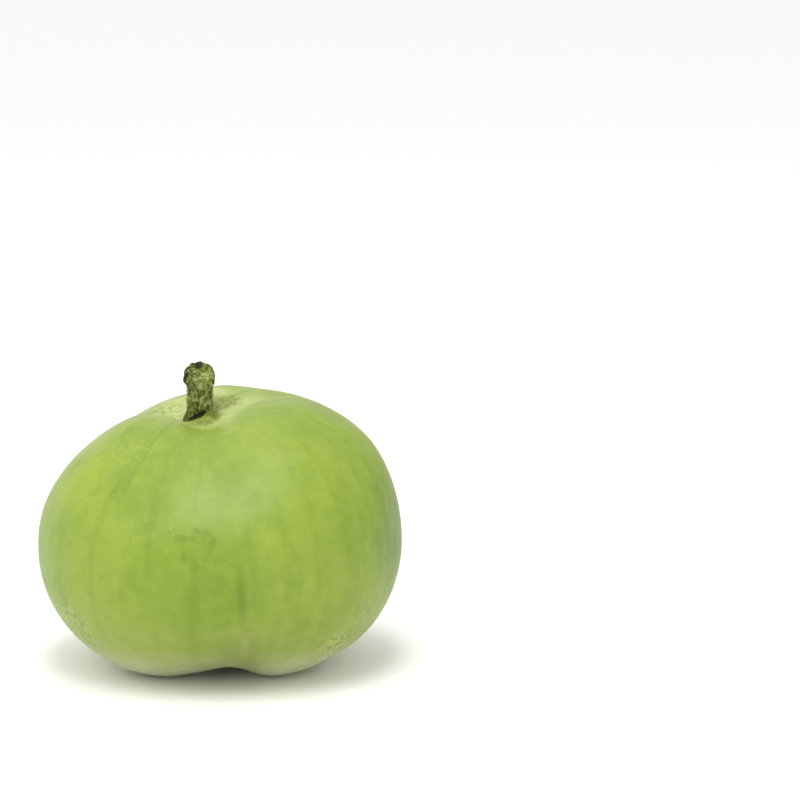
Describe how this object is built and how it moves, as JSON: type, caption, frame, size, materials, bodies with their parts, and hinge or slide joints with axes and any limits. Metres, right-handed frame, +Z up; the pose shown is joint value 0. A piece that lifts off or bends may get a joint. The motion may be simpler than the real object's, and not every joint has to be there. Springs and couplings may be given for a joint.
{
  "type": "round gourd",
  "caption": "Squat, softly lobed round gourd with its cut stalk, picked whole and resting on the flat spots of its lobes.",
  "frame": {"origin": "on the surface the gourd rests on, under the middle of its bounding box", "axes": "+Z up from the resting surface towards the stalk, -Y the front, +X the gourd's right seen from the front"},
  "size_m": [0.0716, 0.0698, 0.0598],
  "materials": {
    "gourd_skin": "satin, waxy green skin with fine pale speckles",
    "stalk_bark": "rough, dry, ridged and hairy"
  },
  "bodies": {
    "root": {"fruit": "gourd_skin", "stalk": "stalk_bark"}
  },
  "joints": []
}
